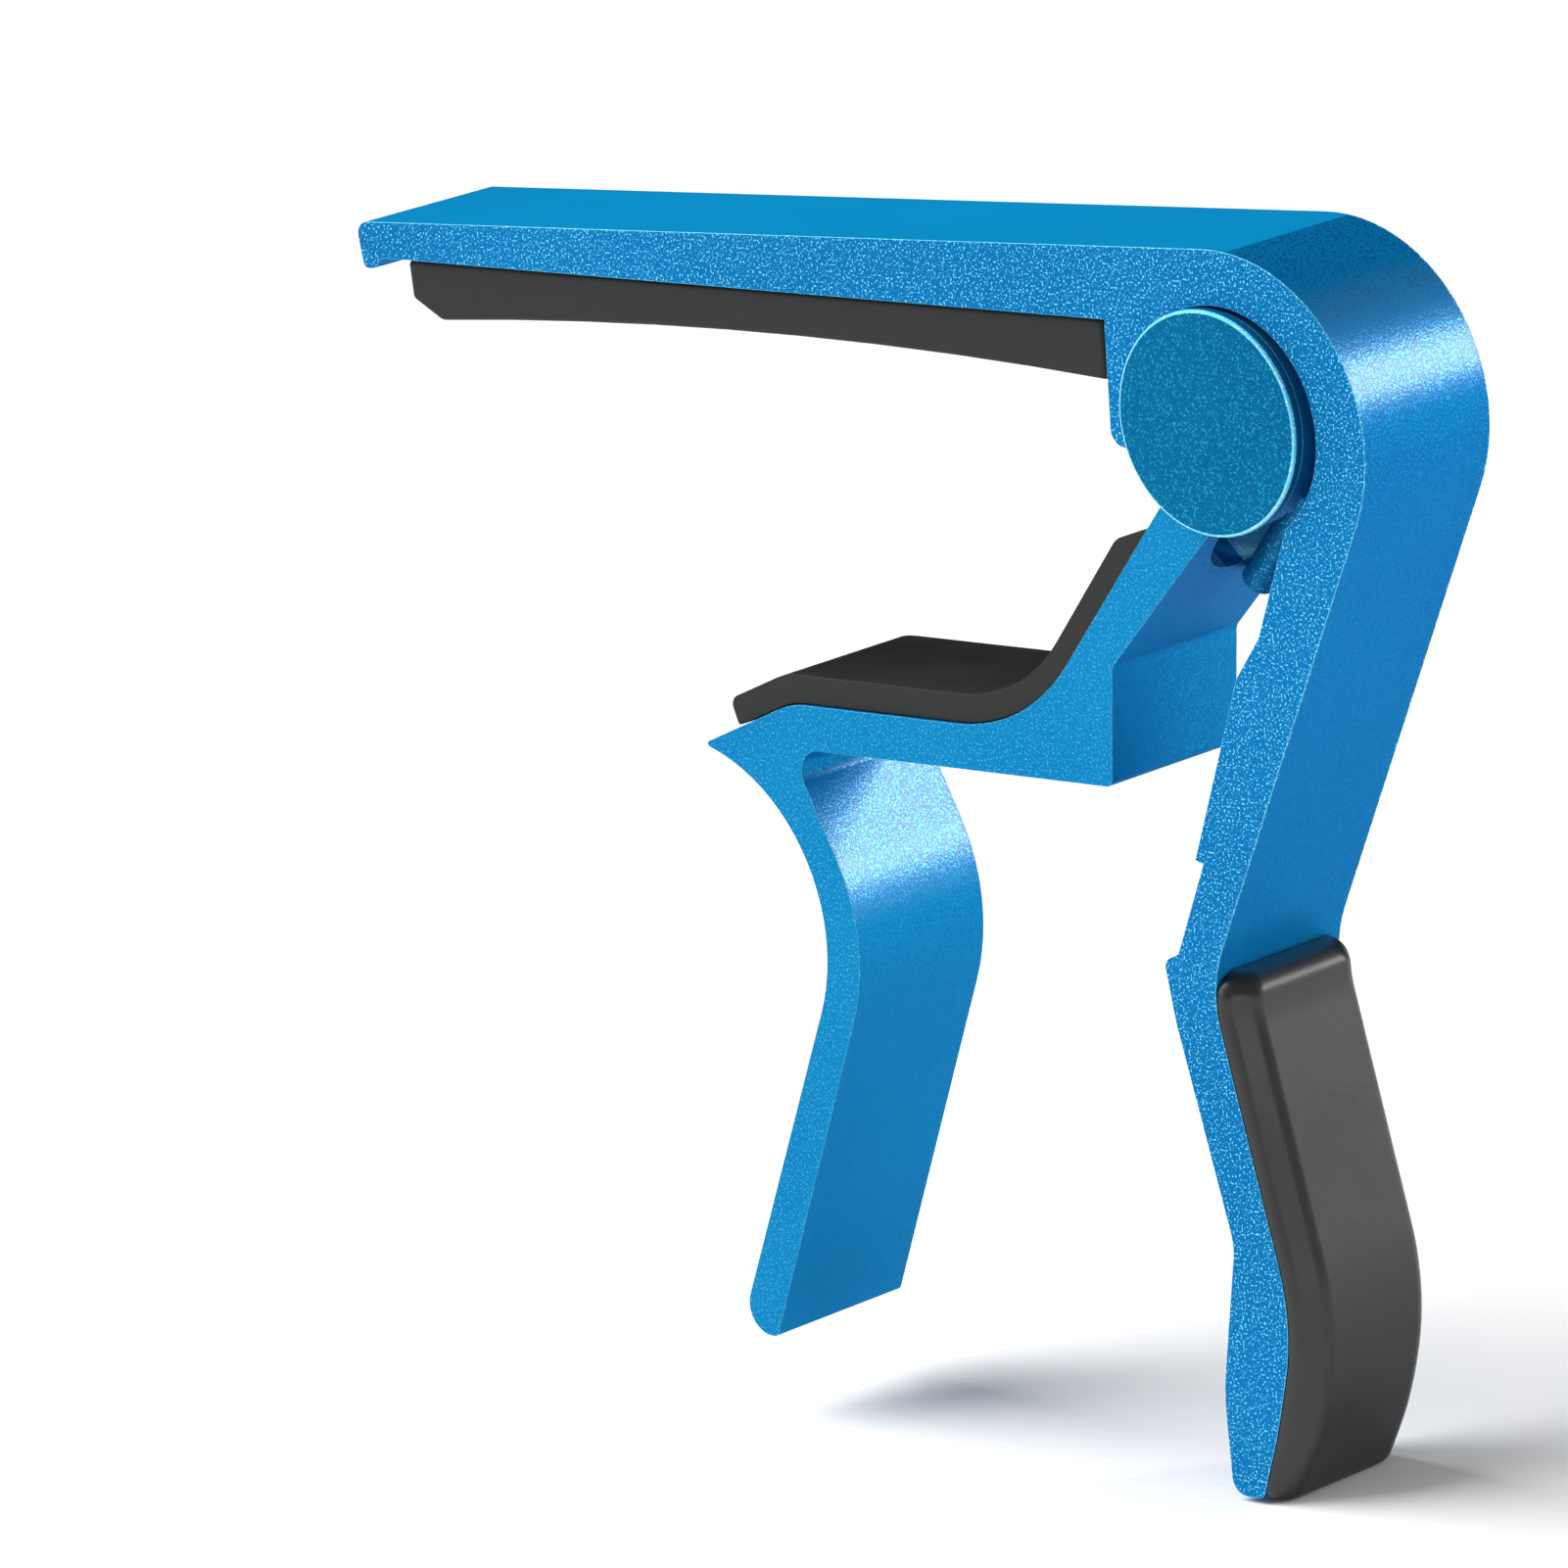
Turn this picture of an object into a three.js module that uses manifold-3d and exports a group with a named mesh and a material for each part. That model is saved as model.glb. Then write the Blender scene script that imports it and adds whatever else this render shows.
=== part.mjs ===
// A trigger-type guitar capo: two aluminium arms on one sprung hinge, with silicone pads and a rubber grip.
// Millimetres, +Z up. The origin is at the middle of the bar pad's string face, +X runs along the bar
// towards the hinge, and Y is across the capo, with Y = 0 on its middle plane.
import * as THREE from "three";
import { mergeVertices } from "three/addons/utils/BufferGeometryUtils.js";
import Module from "manifold-3d";

// Driving dimensions
const width = 12; // both arms, across Y
const barUnderside = 2.95; // Z of the bar's lower face, where the pad is fixed
const fretboardRadius = 406; // the string face is hollowed to this radius
const stringFaceHalfLength = 29.4;
const padWidth = 11.4;
const padGap = 0.06; // between a pad or the grip's bedding and the metal it is fixed to
const hinge = { x: 38.5, z: -2.9 }; // the hinge axis runs along Y through this point
const kneeRadius = 11.6;
const capRadius = 7.2;
const capThickness = 1;
const cheekRadius = 7;
const cheekInner = 4.4; // |Y| of the jaw cheeks' inner faces
const webRadius = 6.5;
const webClearance = 0.3; // between the webs' rims and the jaw
const webOuter = 3.95; // |Y| of the faces of the upper arm's two hinge webs
const webInner = 2.95;
const headRadius = 3.6; // of the sleeve and the screw
const headSeat = 5.15; // |Y| under their heads
const headTop = 5.9;
const headClearance = 0.2;
const pocketNose = 2.6; // how far below the top of the arm's slope the pocket's nose is centred
const pocketDepth = 2.4;
const pocketLength = 8; // from the nose's centre up past the top of the slope
const recess = { x: hinge.x + 0.4, z: hinge.z - 0.35, radius: 7.65 };
const sleeveRadius = 2.5;
const screwRadius = 1.5;
const runningGap = 0.05; // between faces and rounds that slide on each other
const bushingRadius = 3.15;
const wireDiameter = 2.2;
const wireClearance = 0.4;
const coilRadius = 4.4; // to the middle of the wire
const legOffset = 1.7; // |Y| of the spring's two legs
const gripHeight = 2.25;
const chordError = 0.01; // how far a facet may lie inside its arc
const turnedSides = 64;

const half = width / 2;
const outside = half + 1; // cutting tools run this far past the sides
const wireRadius = wireDiameter / 2;

const wasm = await Module();
wasm.setup();

// ---- Shapes

// An outline in the X-Z plane from corners [x, z, radius]: a corner with a radius becomes an arc.
function outline(corners) {
  const points = [];
  corners.forEach(([x, z, radius], i) => {
    const corner = new THREE.Vector2(x, z);
    if (!radius) {
      points.push(corner);
      return;
    }
    const [px, pz] = corners.at(i - 1);
    const [nx, nz] = corners[(i + 1) % corners.length];
    const back = new THREE.Vector2(px, pz).sub(corner).normalize();
    const onward = new THREE.Vector2(nx, nz).sub(corner).normalize();
    const halfAngle = Math.acos(back.dot(onward)) / 2;
    const middle = back.clone().add(onward).setLength(radius / Math.sin(halfAngle)).add(corner);
    const reach = radius / Math.tan(halfAngle);
    const first = back.multiplyScalar(reach).add(corner).sub(middle);
    const last = onward.multiplyScalar(reach).add(corner).sub(middle);
    const sweep = Math.atan2(first.cross(last), first.dot(last));
    const steps = Math.ceil(Math.abs(sweep) / facetAngle(radius));
    for (let k = 0; k <= steps; k++) {
      const angle = (sweep * k) / steps;
      points.push(first.clone().rotateAround(new THREE.Vector2(), angle).add(middle));
    }
  });
  return points;
}

function facetAngle(radius) {
  return 2 * Math.acos(1 - chordError / radius);
}

// A plate with its outline in X-Z, from Y = low to Y = high.
function plate(points, low, high) {
  const geometry = new THREE.ExtrudeGeometry(new THREE.Shape(points), {
    depth: high - low,
    bevelEnabled: false,
    curveSegments: 1,
  });
  return geometry.rotateX(Math.PI / 2).translate(0, high, 0);
}

// A round bar along Y on the point (centre.x, centre.z).
function roundBar(radius, low, high, centre = hinge) {
  const sides = 4 * Math.ceil(Math.PI / 2 / facetAngle(radius));
  const geometry = new THREE.CylinderGeometry(radius, radius, high - low, sides);
  return geometry.translate(centre.x, (low + high) / 2, centre.z);
}

// A turned piece on the hinge axis, from a profile of [radius, y] pairs listed anticlockwise. A profile
// that touches the axis starts and ends on it, and any other is closed here into a ring.
function turned(profile) {
  const points = profile.map(([r, y]) => new THREE.Vector2(r, y));
  if (profile[0][0] > 0) points.push(points[0].clone());
  return new THREE.LatheGeometry(points, turnedSides).translate(hinge.x, 0, hinge.z);
}

function solid(geometry) {
  const bare = new THREE.BufferGeometry().setAttribute("position", geometry.getAttribute("position"));
  bare.setIndex(geometry.index);
  const merged = mergeVertices(bare, 1e-4);
  return new wasm.Manifold(
    new wasm.Mesh({
      numProp: 3,
      vertProperties: merged.attributes.position.array,
      triVerts: new Uint32Array(merged.index.array),
    }),
  );
}

function geometryOf(manifold) {
  const mesh = manifold.getMesh();
  const geometry = new THREE.BufferGeometry();
  geometry.setAttribute("position", new THREE.BufferAttribute(mesh.vertProperties, 3));
  geometry.setIndex(new THREE.BufferAttribute(mesh.triVerts, 1));
  geometry.computeVertexNormals();
  return geometry;
}

const join = (...pieces) => pieces.map(solid).reduce((a, b) => a.add(b));
const cut = (body, ...tools) => tools.map(solid).reduce((a, b) => a.subtract(b), body);

// ---- The assembly

const capo = new THREE.Group();
capo.name = "capo";

const finishes = {
  blueMetal: { color: 0x1b7fc0, roughness: 0.42, metalness: 0.75 },
  silicone: { color: 0x343634, roughness: 0.7, metalness: 0 },
  rubber: { color: 0x3a3a3a, roughness: 0.55, metalness: 0 },
  steel: { color: 0xb9bcc0, roughness: 0.3, metalness: 1 },
  nylon: { color: 0xd9d6cc, roughness: 0.5, metalness: 0 },
};

function add(name, finish, geometry) {
  const mesh = new THREE.Mesh(geometry, new THREE.MeshStandardMaterial(finishes[finish]));
  mesh.name = name;
  capo.add(mesh);
}

// ---- Upper arm: bar, knee and handle in one casting, with two webs that hold the hinge

const bend = [33.8, -39.7, 8]; // where the handle turns back out
const heel = [38.3, -61.5, 16]; // the fullest part of the handle
const heelEnd = [36.1, -69, 10];

const armOutline = outline([
  [-36.2, 5.3, 0.9],
  [57.9, 8.6, kneeRadius],
  bend,
  heel,
  heelEnd,
  [34.5, -73.25, 0.6],
  [32, -73.25, 1.1],
  [31.95, -66.5, 15],
  [33.9, -56.6, 4],
  [30.65, -42.3, 6],
  [30.1, -38.3, 0.7], // finger stop
  [31.35, -37.8, 0.5],
  [34.15, -31.65, 0],
  [33.5, -31.45, 0], // end of the raised land that guards the handle's inner face
  [38.3, -19.3, 1.5],
  [40.4, -16.6, 2],
  [43.9, -8.3, 0],
  [38.5, -5, 0],
  [31.7, -5.35, 0], // lug tip
  [29.55, -5, 1.1],
  [29.9, barUnderside, 0],
  [-34.1, barUnderside, 0.5],
  [-34.9, 2.2, 0.3], // lip in front of the pad
  [-35.8, 2.2, 0.4],
]);

function upperArm() {
  const body = join(plate(armOutline, -half, half), roundBar(webRadius, -webOuter, webOuter));
  const slotWidth = wireDiameter + wireClearance;
  const slotEnds = [-0.6, 8.4]; // Z above the hinge axis
  const legSlot = new THREE.BoxGeometry(slotWidth, slotWidth, slotEnds[1] - slotEnds[0]);
  legSlot.translate(hinge.x + coilRadius, -legOffset, hinge.z + (slotEnds[0] + slotEnds[1]) / 2);
  const mouthLow = hinge.z - 9.2; // the coil's cavity opens downwards for the lower leg
  const mouthHigh = hinge.z - 3.2;
  const mouth = new THREE.BoxGeometry(11.5, 2 * webInner, mouthHigh - mouthLow);
  mouth.translate(hinge.x - 0.9, 0, (mouthLow + mouthHigh) / 2);
  const made = cut(
    body,
    roundBar(recess.radius, webOuter, outside, recess),
    roundBar(recess.radius, -outside, -webOuter, recess),
    roundBar(coilRadius + wireRadius + wireClearance, -webInner, webInner),
    roundBar(sleeveRadius + runningGap, -half, half),
    legSlot,
    mouth,
  );
  return geometryOf(made);
}
add("upper_arm", "blueMetal", upperArm());

// ---- Bar pad: hollowed lengthwise to fit a fretboard, with one facet square to Z at its middle

function barPad() {
  const facets = 9;
  const edge = Math.asin(stringFaceHalfLength / fretboardRadius);
  const points = [];
  for (let k = 0; k <= facets; k++) {
    const angle = edge * ((2 * k) / facets - 1);
    points.push(new THREE.Vector2(fretboardRadius * Math.sin(angle), fretboardRadius * Math.cos(angle)));
  }
  const crown = points[(facets - 1) / 2].y;
  points.forEach((point) => (point.y -= crown));
  const top = barUnderside - padGap;
  points.push(new THREE.Vector2(stringFaceHalfLength, top));
  points.push(new THREE.Vector2(-32, top), new THREE.Vector2(-31.9, 0.3)); // chamfered free end
  return plate(points, -padWidth / 2, padWidth / 2);
}
add("bar_pad", "silicone", barPad());

// ---- Handle grip: follows the handle's outer edge from the middle of the bend to the end

function handleGrip() {
  const gap = 2 * padGap;
  const toHandle = [
    [34.45 + gap, -73.3, 0],
    [heelEnd[0] + gap, heelEnd[1], heelEnd[2]],
    [heel[0] + gap, heel[1], heel[2]],
    [34.12, -40.67, bend[2]], // only the lower part of the bend's arc
  ];
  const outside = [
    [34.57, -38.85, 0],
    [36, -40.15, 1],
    [bend[0] + gripHeight, bend[1] - 1.6, 3],
    [heel[0] + gripHeight, heel[1], 16],
    [heelEnd[0] + gripHeight - 0.3, heelEnd[1], 10],
    [35.95, -73.4, 1.5],
  ];
  return plate(outline([...toHandle, ...outside]), -half, half);
}
add("handle_grip", "rubber", handleGrip());

// ---- Lower jaw: cradle, trigger and arm in one casting, with two round cheeks outside the webs

const cradleLow = -24.4;
const armTop = [34.3, -7.45, 0];
const slopeTop = [38.5, -8.78, 0];
const slopeEnd = [27.9, -19.5, 0.8];

const jawOutline = outline([
  [-8.7, -27.75, 0.2],
  [-0.5, cradleLow, 6],
  [20.1, cradleLow, 13],
  armTop,
  slopeTop,
  slopeEnd,
  [27, -27.35, 0.5],
  [-1, -27.35, 1.6],
  [4.8, -39.9, 13.5],
  [-7.3, -67.9, 0.4],
  [-10.6, -67.9, 1.9],
  [5.3, -32.3, 12.6],
]);

// The arm's slope as a frame: local X runs up the slope, Y out of it and Z across the capo. Its origin
// lies on the slope, this far below slopeTop.
function slopeFrame(below) {
  const up = new THREE.Vector3(slopeTop[0] - slopeEnd[0], 0, slopeTop[1] - slopeEnd[1]).normalize();
  const across = new THREE.Vector3(0, 1, 0);
  const origin = new THREE.Vector3(slopeTop[0], 0, slopeTop[1]).addScaledVector(up, -below);
  return new THREE.Matrix4().makeBasis(up, across.clone().cross(up), across).setPosition(origin);
}

// The pocket that the spring's lower leg lies in: a slot with a round nose, cut square to the slope.
function springPocket() {
  const radius = cheekInner;
  const frame = slopeFrame(pocketNose);
  const nose = new THREE.CylinderGeometry(radius, radius, 2 * pocketDepth, turnedSides);
  const run = new THREE.BoxGeometry(pocketLength, 2 * pocketDepth, 2 * radius);
  run.translate(pocketLength / 2, 0, 0);
  return [nose.applyMatrix4(frame), run.applyMatrix4(frame)];
}

function lowerJaw() {
  const arm = plate(jawOutline, -half, half);
  const clearance = roundBar(webRadius + webClearance, -cheekInner, cheekInner);
  const made = cut(solid(arm), clearance, ...springPocket())
    .add(solid(roundBar(cheekRadius, cheekInner, half)))
    .add(solid(roundBar(cheekRadius, -half, -cheekInner)));
  const counterbore = headRadius + headClearance;
  return geometryOf(
    cut(
      made,
      roundBar(sleeveRadius + runningGap, -outside, outside),
      roundBar(counterbore, headSeat - runningGap, outside),
      roundBar(counterbore, -outside, runningGap - headSeat),
    ),
  );
}
add("lower_jaw", "blueMetal", lowerJaw());

// ---- Jaw pad: lines the cradle and the inner side of the arm

function jawPad() {
  const face = cradleLow + 1.95;
  const points = outline([
    [-5.6, -26.35, 0.2],
    [-0.5 - padGap, cradleLow + padGap, 6],
    [20.1 - padGap, cradleLow + padGap, 13],
    [31.75, -10.43, 0],
    [28.95, -11.15, 1.6],
    [19.7, face, 11],
    [-0.9, face, 4.2],
    [-6.2, -24.6, 0.7],
  ]);
  return plate(points, -padWidth / 2, padWidth / 2);
}
add("jaw_pad", "silicone", jawPad());

// ---- Hinge: a blind sleeve and its screw, hidden by two blank caps

function hingeCap() {
  const inner = half + runningGap;
  const outer = half + capThickness;
  const chamfer = 0.22;
  const hollow = 4.2; // clears the head behind the cap
  const dished = inner + 0.3;
  return turned([
    [0, dished],
    [hollow, dished],
    [hollow, inner],
    [capRadius - chamfer, inner],
    [capRadius, inner + chamfer],
    [capRadius, outer - chamfer],
    [capRadius - chamfer, outer],
    [0, outer],
  ]);
}
add("hinge_cap_front", "blueMetal", hingeCap().rotateX(Math.PI).translate(0, 0, 2 * hinge.z));
add("hinge_cap_rear", "blueMetal", hingeCap());

function hingeSleeve() {
  const bore = screwRadius + runningGap;
  const mouth = headSeat - 0.3;
  const boreEnd = 0.6 - headSeat;
  return turned([
    [0, -headTop],
    [headRadius, -headTop],
    [headRadius, -headSeat],
    [sleeveRadius, -headSeat],
    [sleeveRadius, mouth],
    [bore, mouth],
    [bore, boreEnd],
    [0, boreEnd],
  ]);
}
add("hinge_sleeve", "steel", hingeSleeve());

function hingeScrew() {
  const tip = -3.6;
  const chamfer = 0.3;
  const shank = turned([
    [0, tip],
    [screwRadius - chamfer, tip],
    [screwRadius, tip + chamfer],
    [screwRadius, headSeat],
    [headRadius, headSeat],
    [headRadius, headTop],
    [0, headTop],
  ]);
  const socketRadius = 1.15; // to its corners
  const socket = new THREE.CylinderGeometry(socketRadius, socketRadius, 1, 6);
  socket.translate(hinge.x, headTop, hinge.z);
  return geometryOf(cut(solid(shank), socket));
}
add("hinge_screw", "steel", hingeScrew());

function ring(inner, outer, low, high) {
  return turned([
    [inner, low],
    [outer, low],
    [outer, high],
    [inner, high],
  ]);
}
const bore = sleeveRadius + runningGap;
const bushingEnd = webInner - 2 * runningGap;
const washerRadius = 6.2;
const washerInner = webOuter + runningGap;
const washerOuter = cheekInner - runningGap;
add("spring_bushing", "nylon", ring(bore, bushingRadius, -bushingEnd, bushingEnd));
add("thrust_washer_front", "nylon", ring(bore, washerRadius, -washerOuter, -washerInner));
add("thrust_washer_rear", "nylon", ring(bore, washerRadius, washerInner, washerOuter));

// ---- Torsion spring: a lower leg on the arm's slope, just over one turn round the hinge, and an upper
// leg held in a slot in the knee. Angles are seen from the front, anticlockwise from +X.

class SpringWire extends THREE.Curve {
  lowerAngle = THREE.MathUtils.degToRad(-40);
  upperAngle = THREE.MathUtils.degToRad(360);
  lowerLeg = 12.6;
  upperLeg = 8;
  coil = coilRadius * (this.upperAngle - this.lowerAngle);

  onCoil(angle, beyond = 0) {
    const share = (angle - this.lowerAngle) / (this.upperAngle - this.lowerAngle);
    return new THREE.Vector3(
      hinge.x + coilRadius * Math.cos(angle) - beyond * Math.sin(angle),
      legOffset * (1 - 2 * share),
      hinge.z + coilRadius * Math.sin(angle) + beyond * Math.cos(angle),
    );
  }

  getPoint(t) {
    const along = t * (this.lowerLeg + this.coil + this.upperLeg) - this.lowerLeg;
    if (along < 0) return this.onCoil(this.lowerAngle, along);
    if (along > this.coil) return this.onCoil(this.upperAngle, along - this.coil);
    return this.onCoil(this.lowerAngle + along / coilRadius);
  }
}

function torsionSpring() {
  const section = new THREE.Shape().absarc(0, 0, wireRadius, 0, 2 * Math.PI);
  return new THREE.ExtrudeGeometry(section, {
    extrudePath: new SpringWire(),
    steps: 72,
    curveSegments: 14,
  });
}
add("torsion_spring", "blueMetal", torsionSpring());

export default capo;
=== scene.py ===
# %% [markdown]
# # A trigger capo for a guitar
# A capo clamps across a guitar's neck and shortens every string at once. This one has two cast
# aluminium arms on one sprung hinge: the upper arm is a flat bar, a round knee and a handle, and the
# lower jaw is a cradle with a trigger. Squeezing the trigger towards the handle opens the jaw.
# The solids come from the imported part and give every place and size. Here they get their looks.

# %% Load the frame
import math

import bpy
from mathutils import Matrix, Vector


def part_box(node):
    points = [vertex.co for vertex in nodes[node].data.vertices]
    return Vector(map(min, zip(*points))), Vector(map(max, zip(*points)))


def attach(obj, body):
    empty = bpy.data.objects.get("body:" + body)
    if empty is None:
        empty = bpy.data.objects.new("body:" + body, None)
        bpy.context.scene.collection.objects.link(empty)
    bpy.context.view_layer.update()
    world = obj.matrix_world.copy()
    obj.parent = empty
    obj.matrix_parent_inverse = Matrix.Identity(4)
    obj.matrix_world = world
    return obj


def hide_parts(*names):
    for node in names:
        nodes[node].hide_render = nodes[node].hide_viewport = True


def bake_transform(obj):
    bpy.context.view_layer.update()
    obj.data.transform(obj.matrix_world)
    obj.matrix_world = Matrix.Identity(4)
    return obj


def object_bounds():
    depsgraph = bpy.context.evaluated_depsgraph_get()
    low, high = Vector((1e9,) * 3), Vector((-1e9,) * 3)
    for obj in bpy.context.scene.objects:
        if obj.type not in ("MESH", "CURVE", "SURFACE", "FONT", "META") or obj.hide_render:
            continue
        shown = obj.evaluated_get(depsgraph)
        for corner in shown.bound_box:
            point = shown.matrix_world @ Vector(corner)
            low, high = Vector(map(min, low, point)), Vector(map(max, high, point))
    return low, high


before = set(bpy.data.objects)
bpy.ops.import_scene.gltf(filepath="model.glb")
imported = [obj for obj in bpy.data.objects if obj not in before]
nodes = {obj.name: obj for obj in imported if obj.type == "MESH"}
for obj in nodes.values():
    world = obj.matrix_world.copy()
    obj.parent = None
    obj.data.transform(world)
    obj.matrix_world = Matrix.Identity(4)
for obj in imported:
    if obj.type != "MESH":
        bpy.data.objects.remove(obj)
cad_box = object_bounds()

MM = 0.001
hair = 0.01 * MM  # places nearer to each other than this count as level
print("nodes:", sorted(nodes))

# %% [markdown]
# ## The camera
# The capo is seen from the right and a little from above, through a long lens, so its parallel edges
# stay nearly parallel. The camera is made first, from its place and its three axes.

# %% The camera
camera_place = Vector((502.21, -519.60, 140.05)) * MM
camera_right = Vector((0.72600, 0.68120, -0.09428))
camera_up = Vector((-0.09103, 0.23108, 0.96867))
camera_back = camera_right.cross(camera_up)

camera_data = bpy.data.cameras.new("camera")
camera_data.lens = 262.31
camera_data.sensor_width = 36.0
camera_data.clip_start = 0.01
camera_data.clip_end = 20.0
camera = bpy.data.objects.new("camera", camera_data)
bpy.context.scene.collection.objects.link(camera)
turn = Matrix((camera_right, camera_up, camera_back)).transposed()
camera.matrix_world = Matrix.Translation(camera_place) @ turn.to_4x4()
bpy.context.scene.camera = camera
print("camera", [round(x, 3) for x in camera.location], "lens", camera_data.lens)

# %% [markdown]
# ## Helpers for edit mode
# An operator acts on everything that is selected, so each step first takes one object alone, and then
# selects the faces or edges it means by their place or their normal.

# %% Helpers
def take(piece):
    if bpy.context.object and bpy.context.object.mode != "OBJECT":
        bpy.ops.object.mode_set(mode="OBJECT")
    bpy.ops.object.select_all(action="DESELECT")
    piece.select_set(True)
    bpy.context.view_layer.objects.active = piece


def enter_edit(piece, mode="VERT"):
    take(piece)
    bpy.ops.object.mode_set(mode="EDIT")
    bpy.ops.mesh.select_mode(type=mode)
    bpy.ops.mesh.select_all(action="DESELECT")


def leave_edit():
    bpy.ops.object.mode_set(mode="OBJECT")


def select_faces(piece, wanted):
    """Selects the faces for which wanted(centre, normal) is true, and stays in edit mode."""
    enter_edit(piece, "FACE")
    leave_edit()
    for face in piece.data.polygons:
        face.select = bool(wanted(face.center, face.normal))
    bpy.ops.object.mode_set(mode="EDIT")


def select_edges(piece, wanted):
    """Selects the edges for which wanted(one end, other end) is true, and stays in edit mode."""
    enter_edit(piece, "EDGE")
    leave_edit()
    points = piece.data.vertices
    for edge in piece.data.edges:
        edge.select = bool(wanted(*(points[i].co for i in edge.vertices)))
    bpy.ops.object.mode_set(mode="EDIT")


def apply_modifiers(piece):
    take(piece)
    for modifier in list(piece.modifiers):
        bpy.ops.object.modifier_apply(modifier=modifier.name)


def place_in_mesh(piece):
    take(piece)
    bpy.ops.object.transform_apply(location=True, rotation=True, scale=True)


def smooth(piece, angle=32.0):
    """Smooth shading with creases kept, and flat faces left flat right up to their rounded edges."""
    take(piece)
    bpy.ops.object.shade_smooth_by_angle(angle=math.radians(angle))
    weighted = piece.modifiers.new("even_shading", "WEIGHTED_NORMAL")
    weighted.keep_sharp = True
    apply_modifiers(piece)


def report(piece):
    uses = {}
    for face in piece.data.polygons:
        for key in face.edge_keys:
            uses[key] = uses.get(key, 0) + 1
    open_edges = sum(1 for count in uses.values() if count != 2)
    corners = [piece.matrix_world @ v.co for v in piece.data.vertices]
    low = [round(min(c[i] for c in corners) / MM, 2) for i in range(3)]
    high = [round(max(c[i] for c in corners) / MM, 2) for i in range(3)]
    print(piece.name, low, high, len(piece.data.polygons), "faces,", open_edges, "open edges")


# %% [markdown]
# ## Refined copies of the solids
# A imported solid is a mesh of loose triangles with knife-sharp edges. A copy has its doubles merged and
# its flat faces joined up again, and then a Bevel modifier breaks each sharp edge, as tumbling and
# blasting do on the real casting. Those narrow rounds catch the light as bright lines, and on the metal
# they are painted a paler blue as well, as a painted highlight.

# %% A refined copy
weld = 0.002 * MM
facet_angle = math.radians(0.4)  # faces that lean less than this are parts of one flat face


def refined_copy(node, name, edge_break, segments=3, sharp=28.0):
    piece = bpy.data.objects.new(name, nodes[node].data.copy())
    bpy.context.scene.collection.objects.link(piece)
    piece.data.materials.clear()
    enter_edit(piece)
    bpy.ops.mesh.select_all(action="SELECT")
    bpy.ops.mesh.remove_doubles(threshold=weld)
    bpy.ops.mesh.dissolve_limited(angle_limit=facet_angle)
    leave_edit()
    take(piece)
    bpy.ops.mesh.customdata_custom_splitnormals_clear()
    bevel = piece.modifiers.new("edge_break", "BEVEL")
    bevel.limit_method = "ANGLE"
    bevel.angle_limit = math.radians(sharp)
    bevel.width = edge_break
    bevel.segments = segments
    bevel.miter_outer = "MITER_ARC"
    apply_modifiers(piece)
    smooth(piece)
    report(piece)
    return piece


# %% [markdown]
# ## The two arms
# Both arms are one width, with outlines that run straight through from side to side, so the packed
# solids already have their true shape. They only need their edges broken.

# %% The two arms
arm_edge_break = 0.28 * MM
upper_arm = refined_copy("upper_arm", "upper_arm_casting", arm_edge_break)
lower_jaw = refined_copy("lower_jaw", "lower_jaw_casting", arm_edge_break)

# %% [markdown]
# ## The hinge caps
# A blank round cap hides the screw on each side. It is a shallow turned cup: a disc with both rims
# chamfered and a hollow behind. One is modelled from a cylinder, and the other is its mirror image.

# %% The hinge caps
cap_low, cap_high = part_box("hinge_cap_front")
hinge_x = (cap_low.x + cap_high.x) / 2
hinge_z = (cap_low.z + cap_high.z) / 2
cap_radius = (cap_high.x - cap_low.x) / 2
cap_outer, cap_inner = cap_low.y, cap_high.y
rim_chamfer = 0.2 * MM
hollow_radius, hollow_depth = 4.2 * MM, 0.3 * MM

bpy.ops.object.select_all(action="DESELECT")
bpy.ops.mesh.primitive_cylinder_add(
    vertices=160, radius=cap_radius, depth=cap_inner - cap_outer, end_fill_type="NGON",
    location=(hinge_x, (cap_outer + cap_inner) / 2, hinge_z), rotation=(math.pi / 2, 0, 0))
cap_front = bpy.context.object
cap_front.name = "cap_front_blank"
place_in_mesh(cap_front)

select_faces(cap_front, lambda centre, normal: normal.y > 0.9)
bpy.ops.mesh.inset(thickness=cap_radius - hollow_radius)
bpy.ops.mesh.extrude_region_move(TRANSFORM_OT_translate={"value": (0, -hollow_depth, 0)})
leave_edit()


def on_rim(a, b):
    level = abs(a.y - b.y) < hair
    return level and all(
        math.hypot(p.x - hinge_x, p.z - hinge_z) > cap_radius - hair for p in (a, b))


select_edges(cap_front, on_rim)
bpy.ops.mesh.bevel(offset=rim_chamfer, segments=2, profile=0.5)
leave_edit()
smooth(cap_front)
report(cap_front)

# %% The rear cap
cap_rear = cap_front.copy()
cap_rear.data = cap_front.data.copy()
cap_rear.name = "cap_rear_blank"
bpy.context.scene.collection.objects.link(cap_rear)
cap_rear.scale = (1, -1, 1)
place_in_mesh(cap_rear)
enter_edit(cap_rear)
bpy.ops.mesh.select_all(action="SELECT")
bpy.ops.mesh.normals_make_consistent(inside=False)
leave_edit()
smooth(cap_rear)
report(cap_rear)

# %% [markdown]
# ## The torsion spring
# A round wire is wound once and a bit round the hinge and has two straight legs. A circle with a Screw
# modifier winds the coil, and the legs are the coil's two ends, extruded. The upper leg is hidden in
# the knee, and the lower leg lies in a pocket of the jaw, where it pushes the jaw shut.

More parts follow.
